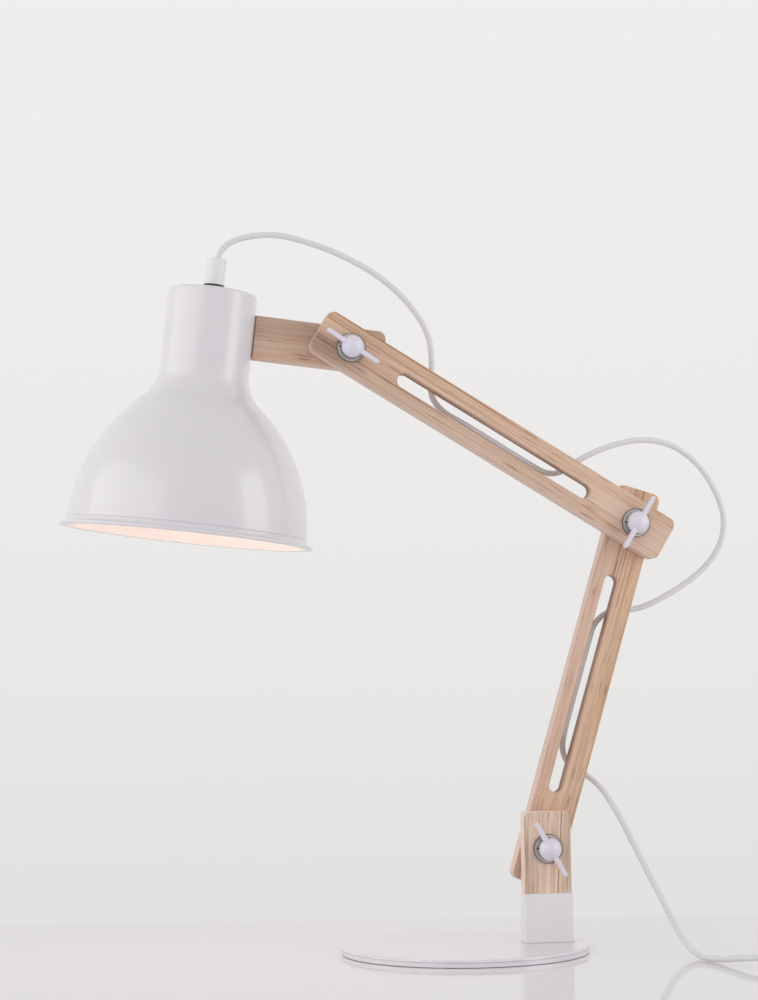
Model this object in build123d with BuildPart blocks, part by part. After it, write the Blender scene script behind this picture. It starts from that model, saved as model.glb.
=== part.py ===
from build123d import *

import os
from math import asin, atan2, ceil, cos, degrees, hypot, pi, radians, sin, sqrt, tan

# A table lamp on a swing arm of pine bars, with a bell shade and wing nuts at its pivots.
# Millimetres. X runs along the arms to the right, Y away from the viewer, Z up.
# The origin is the middle of the foot pad's underside.

# Clearances
running_gap = 0.05
face_gap = 0.05
drill_gap = 0.1
wall_gap = 0.1
floor_gap = 0.05

# Base
disc_radius = 90.0
disc_thickness = 5.2
disc_edge_round = 1.6
rim_groove_height = 3.0
rim_groove_width = 0.5
rim_groove_depth = 0.7
pad_thickness = 0.6
pad_inset = 6.0

# Post and its sleeve
post_x = 61.5
post_width = 35.2
post_corner = 4.0
post_above_pivot = 27.1
pivot_height = 73.7
sleeve_height = 35.4
sleeve_wall = 0.6
sleeve_floor = 1.5
sleeve_corner = 1.2
sleeve_foot_height = 2.3
sleeve_foot_step = 0.5
sleeve_foot_edge = 0.4
base_screw_spacing = 18.0
base_screw_radius = 2.2
base_screw_head_radius = 4.4
base_screw_length = 32.0
screw_tip = 4.0

# Pine bars
bar_thickness = 13.0
bar_front_y = -7.2
bar_ease = 1.0
bar_corner = 6.0
bar_end = 27.4
arm_width = 34.5
head_arm_width = 32.0
head_arm_lift = 1.5
slot_length = 168.0
slot_width = 11.0
lower_slot_width = 10.5
lower_slot_offset = 2.8
slot_ease = 0.6
lower_arm_span = 250.0
upper_arm_span = 250.0
lower_arm_angle = 73.2
upper_arm_angle = 148.8
head_angle = -6.5

# Pivot hardware
bolt_radius = 3.0
bolt_head_radius = 7.5
bolt_head_height = 3.4
bolt_square = 6.4
bolt_square_depth = 4.0
bolt_thread_length = 6.0
washer_hole_gap = 0.25
friction_washer_radius = 12.0
friction_washer_thickness = 0.95
flat_washer_radius = 10.8
flat_washer_thickness = 1.5
spring_washer_radius = 8.9
spring_washer_thickness = 1.8
spring_washer_split = 1.2
nut_base_radius = 7.4
nut_radius = 8.2
nut_collar = 4.6
nut_height = 10.3
nut_bore_depth = 6.6
wing_span = 45.0
wing_root_width = 4.2
wing_tip_width = 2.9
wing_depth = 4.4
wing_setback = 2.4
wing_edge_round = 0.7
shoulder_wing_angle = -60.7
elbow_wing_angle = 58.1
head_wing_angle = -32.6

# Shade, a spun bell: straight neck, hollow flare, round dome and turned-out lip
shade_reach = 103.6
shade_lean = 1.3
neck_above_arm = 31.3
neck_radius = 33.0
neck_top_round = 2.0
flare_radius = 30.0
dome_radius = 125.0
dome_depth = 177.6
rim_radius = 88.0
shade_wall = 1.0
lip_bead_depth = 181.1
lip_overhang = 4.0
lip_groove_depth = 176.0
lip_groove_width = 1.2
lip_groove_sink = 0.5
lip_bead_radius = 1.3
lip_inner_round = 0.5
shade_screw_spacing = 18.0
shade_screw_radius = 2.0
shade_screw_head_radius = 3.8
shade_screw_head_height = 2.4
shade_screw_length = 26.0

# Cord grip and threaded nipple
grip_radius = 7.6
grip_height = 19.7
grip_top_round = 1.4
grip_throat_length = 3.6
grip_mouth_radius = 5.4
grip_spacer_height = 5.5
grip_screw_radius = 1.5
grip_screw_above_socket = 1.9
nipple_radius = 5.0
nipple_bore_radius = 3.4
nipple_in_grip = 7.0
nipple_nut_flats = 14.0
nipple_nut_thickness = 3.0

# Lamp holder and bulb
holder_radius = 19.0
holder_wall = 2.2
holder_cap_height = 18.0
holder_body_height = 30.0
holder_spigot = 7.0
insert_thickness = 6.0
insert_contact_hole = 4.0
sleeve_thread_radius = 13.3
thread_sleeve_wall = 0.5
thread_sleeve_length = 24.0
contact_radius = 3.0
contact_length = 2.0
bulb_cap_radius = 13.2
bulb_cap_wall = 0.6
bulb_cap_length = 25.0
bulb_cap_shoulder = 4.0
bulb_tip_radius = 4.6
globe_radius = 30.0
globe_drop = 45.6
globe_neck_radius = 12.4
globe_neck_curve = 34.0
globe_wall = 0.9
globe_seat = 6.0

# Cord
cord_radius = 2.25
coil_pitch = 5.1
coil_outer_radius = 30.0
coil_turns_per_layer = 2
coil_last_half_turns = 1
coil_lift = 1.0
coil_x = 314.0
coil_y = -126.5
tie_width = 6.0
tie_thickness = 0.7
tie_gap = 0.5
tie_corner = 2.0

# Inline switch
switch_x = 249.0
switch_y = -156.5
switch_length = 60.0
switch_width = 26.0
switch_height = 21.0
switch_split_height = 12.0
switch_cord_height = 8.5
switch_wall = 2.0
switch_corner = 8.0
switch_edge_round = 2.0
rocker_length = 18.0
rocker_width = 10.0
rocker_gap = 0.6
rocker_ear_height = 3.4
rocker_hollow = 1.0
rocker_below_pivot = 3.0
rocker_pin_radius = 1.5
rocker_pin_length = 2.0
rocker_pivot_below_top = 2.8
rocker_tilt = 8.0
switch_screw_spacing = 44.0
switch_screw_radius = 1.4
switch_screw_head_radius = 2.6
switch_screw_head_height = 1.6
switch_screw_length = 16.0

# Plug, flat with two round pins
plug_width = 35.0
plug_length = 36.0
plug_neck_width = 12.0
plug_relief_root_radius = 5.0
plug_corner = 5.0
plug_edge_round = 2.5
plug_relief_length = 20.0
plug_relief_tip_radius = 3.4
plug_tail_length = 20.0
pin_radius = 2.0
pin_spacing = 18.6
pin_length = 19.0
pin_root = 8.0

# Route of the cord, point by point, from the cord grip to the inline switch
cord_route_head = [
    (-179.24, 12.53, 487.35),
    (-177.3, 12.15, 504.2),
    (-174.9, 12.1, 515.5),
    (-166.0, 12.4, 524.2),
    (-149.0, 12.9, 528.8),
    (-131.0, 13.0, 529.8),
    (-110.0, 13.0, 524.8),
    (-88.0, 12.5, 517.5),
    (-58.0, 12.0, 502.0),
    (-35.0, 12.0, 482.5),
    (-18.5, 12.0, 459.0),
    (-15.0, 12.5, 436.0),
    (-18.5, 12.0, 411.5),
    (-10.0, 8.0, 397.5),
    (5.0, 3.0, 388.5),
    (20.0, 2.25, 379.15),
]
cord_route_elbow = [
    (20.0, 2.25, 379.15),
    (35.0, 1.5, 369.8),
    (55.0, 3.0, 358.0),
    (70.0, 8.0, 350.5),
    (84.0, 13.0, 353.0),
    (98.0, 14.5, 363.5),
    (122.0, 15.0, 374.0),
    (148.0, 16.0, 379.0),
    (171.0, 17.0, 375.0),
    (191.0, 18.0, 361.0),
    (205.0, 19.0, 341.0),
    (213.0, 20.0, 318.0),
    (208.5, 21.0, 296.0),
    (194.0, 22.5, 278.0),
    (171.0, 24.5, 262.0),
    (143.0, 27.0, 248.5),
    (123.5, 26.5, 250.0),
    (107.6, 19.5, 240.5),
    (102.0, 16.2, 226.5),
    (97.3, 16.1, 211.0),
]
cord_route_drop = [
    (97.3, 16.1, 211.0),
    (92.6, 16.0, 195.5),
    (84.6, 16.0, 169.0),
    (81.2, 17.4, 156.0),
    (80.8, 21.6, 143.8),
    (87.0, 26.5, 133.0),
    (99.0, 27.0, 126.5),
    (110.2, 21.0, 117.0),
    (120.3, 9.0, 96.5),
    (128.5, -2.5, 74.0),
    (137.0, -13.0, 52.0),
    (144.5, -23.5, 32.0),
    (146.6, -41.0, 18.5),
    (146.9, -62.0, 9.4),
    (148.3, -83.0, 3.5),
    (153.5, -101.0, 2.35),
    (160.3, -118.5, 4.3),
    (167.5, -134.5, 6.8),
    (177.0, -147.0, 8.2),
    (191.0, -154.5, 8.5),
    (206.0, -156.5, 8.5),
    (219.0, -156.5, 8.5),
]

# Places that follow from the sizes above
disc_top = pad_thickness + disc_thickness
bar_back_y = bar_front_y + bar_thickness
back_bar_front_y = bar_back_y + friction_washer_thickness + face_gap
back_bar_back_y = back_bar_front_y + bar_thickness
back_layer_y = back_bar_front_y + bar_thickness / 2
post_y = bar_front_y + bar_thickness / 2
post_bottom = disc_top + sleeve_floor
toward_viewer = Vector(0, -1, 0)


def along(angle):
    """The direction at this angle above +X, in the plane of the arms."""
    return Vector(cos(radians(angle)), 0, sin(radians(angle)))


def at_depth(point, y):
    return Vector(point.X, y, point.Z)


shoulder = Vector(post_x, 0, pivot_height)
elbow = shoulder + along(lower_arm_angle) * lower_arm_span
head_pivot = elbow + along(upper_arm_angle) * upper_arm_span
head_x = along(head_angle)
head_up = along(head_angle + 90)
shade_up = head_up * cos(radians(shade_lean)) + toward_viewer * sin(radians(shade_lean))
shade_front = head_x.cross(shade_up)
neck_top = at_depth(head_pivot - head_x * shade_reach, back_layer_y) + shade_up * neck_above_arm
shade_plane = Plane(origin=neck_top, x_dir=head_x, z_dir=shade_front)

os.makedirs("parts", exist_ok=True)


def save(piece, name):
    piece.part.label = name
    export_step(piece.part, f"parts/{name}.step")


def front_view(point, y, angle=0.0):
    """A plane facing the viewer at depth y, with its x axis at this angle."""
    return Plane(origin=at_depth(point, y), x_dir=along(angle), z_dir=toward_viewer)


def turn(plane, outline):
    """A round piece: a half outline of radius and height, turned about the plane's y axis."""
    with BuildPart() as piece:
        with BuildSketch(plane):
            with BuildLine():
                Polyline(*outline, close=True)
            make_face()
        revolve(axis=Axis(plane.origin, plane.y_dir))
    return piece


def ring(plane, inner, outer, low, high):
    return turn(plane, [(inner, low), (outer, low), (outer, high), (inner, high)])


# Base: pad, disc, sleeve and the screws that clamp them to the post
with BuildPart() as foot_pad:
    with BuildSketch(Plane.XY):
        Circle(disc_radius - pad_inset)
    extrude(amount=pad_thickness)
save(foot_pad, "foot_pad")

with BuildPart() as base_disc:
    with BuildSketch(Plane.XY.offset(pad_thickness)):
        Circle(disc_radius)
    extrude(amount=disc_thickness)
    fillet(base_disc.faces().sort_by(Axis.Z)[-1].edges(), disc_edge_round)
    with BuildSketch(Plane.XY.offset(pad_thickness + rim_groove_height)):
        Circle(disc_radius + rim_groove_depth)
        Circle(disc_radius - rim_groove_depth, mode=Mode.SUBTRACT)
    extrude(amount=rim_groove_width, mode=Mode.SUBTRACT)
    with Locations(Plane(origin=(post_x, post_y, pad_thickness), z_dir=(0, 0, -1))):
        with GridLocations(base_screw_spacing, 0, 2, 1):
            CounterSinkHole(
                radius=base_screw_radius + drill_gap,
                counter_sink_radius=base_screw_head_radius + drill_gap,
                depth=disc_thickness,
                counter_sink_angle=90,
            )
save(base_disc, "base_disc")

sleeve_inner_width = post_width + 2 * wall_gap
sleeve_inner_depth = bar_thickness + 2 * wall_gap
sleeve_width = sleeve_inner_width + 2 * sleeve_wall
sleeve_depth = sleeve_inner_depth + 2 * sleeve_wall
with BuildPart() as post_sleeve:
    with BuildSketch(Plane((post_x, post_y, disc_top))):
        RectangleRounded(sleeve_width, sleeve_depth, sleeve_corner)
    extrude(amount=sleeve_height)
    with BuildSketch(Plane((post_x, post_y, disc_top))):
        foot_width = sleeve_width + 2 * sleeve_foot_step
        foot_depth = sleeve_depth + 2 * sleeve_foot_step
        RectangleRounded(foot_width, foot_depth, sleeve_corner + sleeve_foot_step)
    extrude(amount=sleeve_foot_height)
    chamfer(post_sleeve.faces().sort_by(Axis.Z)[0].edges(), sleeve_foot_edge)
    with BuildSketch(Plane((post_x, post_y, post_bottom))):
        Rectangle(sleeve_inner_width, sleeve_inner_depth)
    extrude(amount=sleeve_height, mode=Mode.SUBTRACT)
    with BuildSketch(Plane((post_x, post_y, disc_top))):
        with GridLocations(base_screw_spacing, 0, 2, 1):
            Circle(base_screw_radius + drill_gap)
    extrude(amount=sleeve_floor, mode=Mode.SUBTRACT)
save(post_sleeve, "post_sleeve")

with BuildPart() as base_screws:
    for side in (-1, 1):
        screw_plane = Plane(
            origin=(post_x + side * base_screw_spacing / 2, post_y, pad_thickness),
            x_dir=(1, 0, 0),
            z_dir=toward_viewer,
        )
        with BuildSketch(screw_plane):
            with BuildLine():
                Polyline(
                    (0, 0),
                    (base_screw_head_radius, 0),
                    (base_screw_radius, base_screw_head_radius - base_screw_radius),
                    (base_screw_radius, base_screw_length - screw_tip),
                    (0, base_screw_length),
                    close=True,
                )
            make_face()
        revolve(axis=Axis(screw_plane.origin, screw_plane.y_dir))
save(base_screws, "base_screws")


def pine_bar(plane, start, end, width, corner, round_start=True, lift=0, slot=None, bolts=(), squares=()):
    """A flat bar along the plane's x axis: eased edges, a slot, bolt holes and square recesses behind."""
    with BuildPart() as bar:
        with BuildSketch(plane) as outline:
            with Locations(((start + end) / 2, lift)):
                Rectangle(end - start, width)
            corners = outline.vertices() if round_start else outline.vertices().group_by(Axis.X)[-1]
            fillet(corners, corner)
        extrude(amount=-bar_thickness)
        fillet(bar.faces().filter_by(Axis.Y).edges(), bar_ease)
        if slot is not None:
            slot_middle, slot_offset, slot_across = slot
            with BuildSketch(plane):
                with Locations((slot_middle, slot_offset)):
                    SlotOverall(slot_length, slot_across)
            extrude(amount=-bar_thickness, mode=Mode.SUBTRACT)
            broad_faces = bar.faces().filter_by(Axis.Y)
            slot_rims = [wire.edges() for face in broad_faces for wire in face.inner_wires()]
            chamfer(slot_rims, slot_ease)
        with BuildSketch(plane):
            with Locations(*[(x, 0) for x in bolts]):
                Circle(bolt_radius + running_gap)
        extrude(amount=-bar_thickness, mode=Mode.SUBTRACT)
        if squares:
            with BuildSketch(plane.offset(-bar_thickness)):
                with Locations(*[(x, 0) for x in squares]):
                    Rectangle(bolt_square + 2 * running_gap, bolt_square + 2 * running_gap)
            extrude(amount=bolt_square_depth, mode=Mode.SUBTRACT)
    return bar


# Post: an upright bar in the front layer, with pilot holes for the base screws
with BuildPart() as post:
    upright = front_view(shoulder, bar_front_y, 90)
    post_start = post_bottom - pivot_height
    add(pine_bar(upright, post_start, post_above_pivot, post_width, post_corner, False, bolts=[0]).part)
    with Locations(Plane(origin=(post_x, post_y, post_bottom), z_dir=(0, 0, -1))):
        with GridLocations(base_screw_spacing, 0, 2, 1):
            Hole(base_screw_radius + running_gap, depth=pad_thickness + base_screw_length - post_bottom)
save(post, "post")

# Lower arm in the back layer, upper arm in the front layer
lower_arm = pine_bar(
    front_view(shoulder, back_bar_front_y, lower_arm_angle),
    -bar_end,
    lower_arm_span + bar_end,
    arm_width,
    bar_corner,
    slot=(lower_arm_span / 2, lower_slot_offset, lower_slot_width),
    bolts=[0, lower_arm_span],
    squares=[0, lower_arm_span],
)
save(lower_arm, "lower_arm")

upper_arm = pine_bar(
    front_view(elbow, bar_front_y, upper_arm_angle),
    -bar_end,
    upper_arm_span + bar_end,
    arm_width,
    bar_corner,
    slot=(upper_arm_span / 2, 0, slot_width),
    bolts=[0, upper_arm_span],
)
save(upper_arm, "upper_arm")

# Head arm in the back layer: its square end stands against the shade's neck
head_arm_start = neck_radius + face_gap - shade_reach
neck_inside = sqrt((neck_radius - shade_wall) ** 2 - shade_screw_head_radius**2) - face_gap
screw_heads_x = neck_inside - shade_reach
with BuildPart() as head_arm:
    head_view = front_view(head_pivot, back_bar_front_y, head_angle)
    head_size = (head_arm_start, bar_end, head_arm_width, bar_corner)
    add(pine_bar(head_view, *head_size, False, head_arm_lift, bolts=[0], squares=[0]).part)
    end_grain = at_depth(head_pivot + head_x * head_arm_start, back_layer_y)
    with Locations(Plane(origin=end_grain, x_dir=head_up, z_dir=-head_x)):
        with GridLocations(shade_screw_spacing, 0, 2, 1):
            pilot_depth = screw_heads_x + shade_screw_length - head_arm_start
            Hole(shade_screw_radius + running_gap, depth=pilot_depth)
save(head_arm, "head_arm")

with BuildPart() as shade_screws:
    for side in (-1, 1):
        screw_head = head_pivot + head_x * screw_heads_x + head_up * side * shade_screw_spacing / 2
        screw_plane = Plane(
            origin=at_depth(screw_head, back_layer_y),
            x_dir=head_up,
            z_dir=toward_viewer,
        )
        with BuildSketch(screw_plane):
            with BuildLine():
                Polyline(
                    (0, shade_screw_head_height),
                    (shade_screw_head_radius * 0.7, shade_screw_head_height),
                    (shade_screw_head_radius, shade_screw_head_height * 0.5),
                    (shade_screw_head_radius, 0),
                    (shade_screw_radius, 0),
                    (shade_screw_radius, screw_tip - shade_screw_length),
                    (0, -shade_screw_length),
                    close=True,
                )
            make_face()
        revolve(axis=Axis(screw_plane.origin, screw_plane.y_dir))
save(shade_screws, "shade_screws")


def carriage_bolt(pivot, bar_angle):
    """Domed head on the back bar, a square neck sunk in it and a shank that ends inside the wing nut."""
    shank_length = back_bar_back_y - bar_front_y + flat_washer_thickness + spring_washer_thickness
    shank_length += face_gap + bolt_thread_length
    back = front_view(pivot, back_bar_back_y, bar_angle)
    profile = Plane(origin=back.origin, x_dir=(1, 0, 0), z_dir=(0, 0, -1))
    with BuildPart() as bolt:
        with BuildSketch(back):
            Circle(bolt_radius)
        extrude(amount=shank_length)
        with BuildSketch(back):
            Rectangle(bolt_square, bolt_square)
        extrude(amount=bolt_square_depth - running_gap)
        with BuildSketch(profile):
            with BuildLine():
                crown = (0, -bolt_head_height)
                rim = (bolt_head_radius, -bolt_head_height * 0.3)
                Polyline(crown, (0, 0), (bolt_head_radius, 0), rim)
                crown_height = bolt_head_height * 0.7
                crown_radius = (bolt_head_radius**2 + crown_height**2) / (2 * crown_height)
                RadiusArc(rim, crown, crown_radius)
            make_face()
        revolve(axis=Axis(profile.origin, profile.y_dir))
    return bolt


def split_washer(pivot):
    """A spring washer: a ring with a slanting split."""
    front = front_view(pivot, bar_front_y - flat_washer_thickness)
    with BuildPart() as washer:
        with BuildSketch(front):
            Circle(spring_washer_radius)
            Circle(bolt_radius + washer_hole_gap, mode=Mode.SUBTRACT)
        extrude(amount=spring_washer_thickness)
        slant = Plane(origin=front.origin, x_dir=(0, -1, 0), z_dir=(-1, 0, 0))
        with BuildSketch(slant):
            with BuildLine():
                Polyline(
                    (0, -spring_washer_split),
                    (0, 0),
                    (spring_washer_thickness, spring_washer_split),
                    (spring_washer_thickness, 0),
                    close=True,
                )
            make_face()
        extrude(amount=spring_washer_radius, mode=Mode.SUBTRACT)
    return washer


def wing_nut(pivot, wing_angle):
    """A domed cap nut with two flat wings at this angle."""
    base_y = bar_front_y - flat_washer_thickness - spring_washer_thickness - face_gap
    front = front_view(pivot, base_y, wing_angle)
    profile = Plane(origin=front.origin, x_dir=(1, 0, 0), z_dir=(0, 0, -1))
    with BuildPart() as nut:
        with BuildSketch(front.offset(nut_height - wing_setback - wing_depth)) as wings:
            with BuildLine():
                half = wing_span / 2
                Polyline(
                    (-half, -wing_tip_width / 2),
                    (0, -wing_root_width / 2),
                    (half, -wing_tip_width / 2),
                    (half, wing_tip_width / 2),
                    (0, wing_root_width / 2),
                    (-half, wing_tip_width / 2),
                    close=True,
                )
            make_face()
            tips = wings.vertices().group_by(Axis.X)
            fillet(tips[0] + tips[-1], wing_tip_width * 0.45)
        extrude(amount=wing_depth)
        fillet(nut.faces().filter_by(Axis.Y).edges(), wing_edge_round)
        with BuildSketch(profile):
            with BuildLine():
                crown_height = nut_height - nut_collar
                crown_radius = (nut_radius**2 + crown_height**2) / (2 * crown_height)
                crown_middle = nut_height - crown_radius
                crown_start = degrees(atan2(nut_collar - crown_middle, nut_radius))
                Polyline((0, nut_height), (0, 0), (nut_base_radius, 0), (nut_radius, nut_collar))
                CenterArc((0, crown_middle), crown_radius, crown_start, 90 - crown_start)
            make_face()
        revolve(axis=Axis(profile.origin, profile.y_dir))
        with BuildSketch(front):
            Circle(bolt_radius + running_gap)
        extrude(amount=nut_bore_depth, mode=Mode.SUBTRACT)
    return nut


# The same hardware at each pivot
pivots = {
    "shoulder": (shoulder, lower_arm_angle, shoulder_wing_angle),
    "elbow": (elbow, lower_arm_angle, elbow_wing_angle),
    "head": (head_pivot, head_angle, head_wing_angle),
}
for place, (pivot, bar_angle, wing_angle) in pivots.items():
    front_axis = Plane(origin=at_depth(pivot, bar_front_y), x_dir=(1, 0, 0), z_dir=(0, 0, -1))
    middle_axis = Plane(origin=at_depth(pivot, bar_back_y), x_dir=(1, 0, 0), z_dir=(0, 0, 1))
    washer_hole = bolt_radius + washer_hole_gap
    save(carriage_bolt(pivot, bar_angle), f"{place}_bolt")
    save(
        ring(middle_axis, washer_hole, friction_washer_radius, 0, friction_washer_thickness),
        f"{place}_friction_washer",
    )
    flat_washer = ring(front_axis, washer_hole, flat_washer_radius, 0, flat_washer_thickness)
    save(flat_washer, f"{place}_flat_washer")
    save(split_washer(pivot), f"{place}_spring_washer")
    save(wing_nut(pivot, wing_angle), f"{place}_wing_nut")

# Shade: outer and inner lines share the centres of flare and dome, and a groove parts dome and rolled lip
dome_x = rim_radius - dome_radius
flare_x = neck_radius + flare_radius
flare_depth = dome_depth - sqrt((dome_radius + flare_radius) ** 2 - (flare_x - dome_x) ** 2)
dome_sweep = degrees(atan2(dome_depth - flare_depth, flare_x - dome_x))
groove_top = lip_groove_depth - lip_groove_width / 2
groove_end = lip_groove_depth + lip_groove_width / 2
inner_radius = dome_radius - shade_wall
dome_stop = degrees(asin((dome_depth - groove_top) / dome_radius))
groove_x = dome_x + dome_radius * cos(radians(dome_stop))
lip_x = rim_radius + lip_overhang
lip_bottom = lip_bead_depth + lip_bead_radius
wall_x = rim_radius - shade_wall
neck_inner = neck_radius - shade_wall
inner_top_round = neck_top_round - shade_wall
shade_axis = Axis(shade_plane.origin, shade_plane.y_dir)
with BuildPart() as shade:
    with BuildSketch(shade_plane):
        with BuildLine():
            Line((nipple_radius + drill_gap, -shade_wall), (nipple_radius + drill_gap, 0))
            Line((nipple_radius + drill_gap, 0), (neck_radius - neck_top_round, 0))
            CenterArc((neck_radius - neck_top_round, -neck_top_round), neck_top_round, 90, -90)
            Line((neck_radius, -neck_top_round), (neck_radius, -flare_depth))
            CenterArc((flare_x, -flare_depth), flare_radius, 180, dome_sweep)
            CenterArc((dome_x, -dome_depth), dome_radius, dome_sweep, dome_stop - dome_sweep)
            ThreePointArc(
                (groove_x, -groove_top),
                (groove_x - lip_groove_sink, -lip_groove_depth),
                (groove_x, -groove_end),
            )
            TangentArc((groove_x, -groove_end), (lip_x, lip_bead_radius - lip_bead_depth), tangent=(0, -1))
            CenterArc((lip_x, -lip_bead_depth), lip_bead_radius, 90, -180)
            Line((lip_x, -lip_bottom), (wall_x + lip_inner_round, -lip_bottom))
            CenterArc((wall_x + lip_inner_round, lip_inner_round - lip_bottom), lip_inner_round, -90, -90)
            Line((wall_x, lip_inner_round - lip_bottom), (wall_x, -dome_depth))
            CenterArc((dome_x, -dome_depth), inner_radius, 0, dome_sweep)
            CenterArc((flare_x, -flare_depth), flare_radius + shade_wall, 180 + dome_sweep, -dome_sweep)
            Line((neck_inner, -flare_depth), (neck_inner, -neck_top_round))
            CenterArc((neck_radius - neck_top_round, -neck_top_round), inner_top_round, 0, 90)
            Line((neck_radius - neck_top_round, -shade_wall), (nipple_radius + drill_gap, -shade_wall))
        make_face()
    revolve(axis=shade_axis)
    with Locations(Plane(origin=end_grain, x_dir=head_up, z_dir=head_x)):
        with GridLocations(shade_screw_spacing, 0, 2, 1):
            Hole(shade_screw_radius + drill_gap, depth=2 * shade_wall + neck_radius - neck_inside)
save(shade, "shade")

# Cord grip, its spacer and screw, and the nipple and nut that hold it to the neck
grip_bottom = grip_spacer_height
grip_top = grip_bottom + grip_height
socket_top = grip_bottom + nipple_in_grip
throat_top = socket_top + grip_throat_length
throat_radius = cord_radius + drill_gap
grip_screw_height = socket_top + grip_screw_above_socket
grip_screw_plane = Plane(
    origin=neck_top + shade_up * grip_screw_height - shade_front * grip_radius,
    x_dir=head_x,
    z_dir=-shade_front,
)
grip_screw_length = grip_radius - throat_radius - running_gap

save(ring(shade_plane, nipple_radius + drill_gap, grip_radius, 0, grip_spacer_height), "grip_spacer")

with BuildPart() as cord_grip:
    with BuildSketch(shade_plane) as grip_half:
        with BuildLine():
            Polyline(
                (nipple_radius + running_gap, grip_bottom),
                (grip_radius, grip_bottom),
                (grip_radius, grip_top),
                (grip_mouth_radius, grip_top),
                (throat_radius, throat_top),
                (throat_radius, socket_top),
                (nipple_radius + running_gap, socket_top),
                close=True,
            )
        make_face()
        fillet(grip_half.vertices().group_by(Axis.Y)[-1].sort_by(Axis.X)[-1], grip_top_round)
    revolve(axis=shade_axis)
    with BuildSketch(grip_screw_plane):
        Circle(grip_screw_radius + running_gap)
    extrude(amount=-grip_radius, mode=Mode.SUBTRACT)
save(cord_grip, "cord_grip")

with BuildPart() as grip_screw:
    with BuildSketch(grip_screw_plane):
        Circle(grip_screw_radius)
    extrude(amount=-grip_screw_length)
save(grip_screw, "grip_screw")

nut_bottom = -shade_wall - nipple_nut_thickness
cap_top = nut_bottom
cap_floor = cap_top - holder_wall
save(ring(shade_plane, nipple_bore_radius, nipple_radius, cap_floor, socket_top), "nipple")

with BuildPart() as nipple_nut:
    with BuildSketch(Plane(origin=neck_top - shade_up * shade_wall, x_dir=head_x, z_dir=shade_up)):
        RegularPolygon(nipple_nut_flats / 2, 6, major_radius=False)
        Circle(nipple_radius + running_gap, mode=Mode.SUBTRACT)
    extrude(amount=-nipple_nut_thickness)
save(nipple_nut, "nipple_nut")

# Lamp holder: cap on the nipple, body on the cap, insert, thread sleeve and contact inside
cap_bottom = cap_top - holder_cap_height
body_bottom = cap_bottom - holder_body_height
cap_inner = holder_radius - holder_wall
spigot_top = cap_bottom + holder_spigot
body_inner = sleeve_thread_radius + thread_sleeve_wall + running_gap
holder_cap = turn(
    shade_plane,
    [
        (nipple_radius + running_gap, cap_top),
        (holder_radius - holder_wall, cap_top),
        (holder_radius, cap_top - holder_wall),
        (holder_radius, cap_bottom),
        (cap_inner, cap_bottom),
        (cap_inner, cap_floor),
        (nipple_radius + running_gap, cap_floor),
    ],
)
save(holder_cap, "holder_cap")

holder_body = turn(
    shade_plane,
    [
        (body_inner, spigot_top),
        (cap_inner - running_gap, spigot_top),
        (cap_inner - running_gap, cap_bottom),
        (holder_radius, cap_bottom),
        (holder_radius, body_bottom),
        (body_inner, body_bottom),
    ],
)
save(holder_body, "holder_body")

insert_bottom = spigot_top - insert_thickness
insert_radius = body_inner - running_gap
save(ring(shade_plane, insert_contact_hole, insert_radius, insert_bottom, spigot_top), "holder_insert")

sleeve_bottom = insert_bottom - thread_sleeve_length
thread_outer = sleeve_thread_radius + thread_sleeve_wall
save(ring(shade_plane, sleeve_thread_radius, thread_outer, sleeve_bottom, insert_bottom), "thread_sleeve")

contact_bottom = insert_bottom - contact_length
centre_contact = turn(
    shade_plane,
    [
        (0, spigot_top),
        (insert_contact_hole - running_gap, spigot_top),
        (insert_contact_hole - running_gap, insert_bottom),
        (contact_radius, contact_bottom),
        (0, contact_bottom),
    ],
)
save(centre_contact, "centre_contact")

# Bulb: a hollow screw cap that meets the contact, and a globe seated in the cap
bulb_tip = contact_bottom - face_gap
bulb_cap_bottom = bulb_tip - bulb_cap_length
bulb_shoulder = bulb_tip - bulb_cap_shoulder
bulb_cap = turn(
    shade_plane,
    [
        (0, bulb_tip),
        (bulb_tip_radius, bulb_tip),
        (bulb_cap_radius, bulb_shoulder),
        (bulb_cap_radius, bulb_cap_bottom),
        (bulb_cap_radius - bulb_cap_wall, bulb_cap_bottom),
        (bulb_cap_radius - bulb_cap_wall, bulb_shoulder - bulb_cap_wall),
        (bulb_tip_radius, bulb_tip - bulb_cap_wall),
        (0, bulb_tip - bulb_cap_wall),
    ],
)
save(bulb_cap, "bulb_cap")

globe_seat_top = bulb_cap_bottom + globe_seat
globe_centre = bulb_cap_bottom - globe_drop
neck_curve_x = globe_neck_radius + globe_neck_curve
neck_curve_y = globe_centre + sqrt((globe_radius + globe_neck_curve) ** 2 - neck_curve_x**2)
globe_sweep = degrees(atan2(neck_curve_y - globe_centre, neck_curve_x))
with BuildPart() as bulb_globe:
    with BuildSketch(shade_plane):
        with BuildLine():
            Line((globe_neck_radius - globe_wall, globe_seat_top), (globe_neck_radius, globe_seat_top))
            Line((globe_neck_radius, globe_seat_top), (globe_neck_radius, neck_curve_y))
            CenterArc((neck_curve_x, neck_curve_y), globe_neck_curve, 180, globe_sweep)
            CenterArc((0, globe_centre), globe_radius, globe_sweep, -90 - globe_sweep)
            Line((0, globe_centre - globe_radius), (0, globe_centre - globe_radius + globe_wall))
            CenterArc((0, globe_centre), globe_radius - globe_wall, -90, 90 + globe_sweep)
            inner_curve = globe_neck_curve + globe_wall
            CenterArc((neck_curve_x, neck_curve_y), inner_curve, 180 + globe_sweep, -globe_sweep)
            inner_neck = globe_neck_radius - globe_wall
            Line((inner_neck, neck_curve_y), (inner_neck, globe_seat_top))
        make_face()
    revolve(axis=shade_axis)
save(bulb_globe, "bulb_globe")


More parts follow.
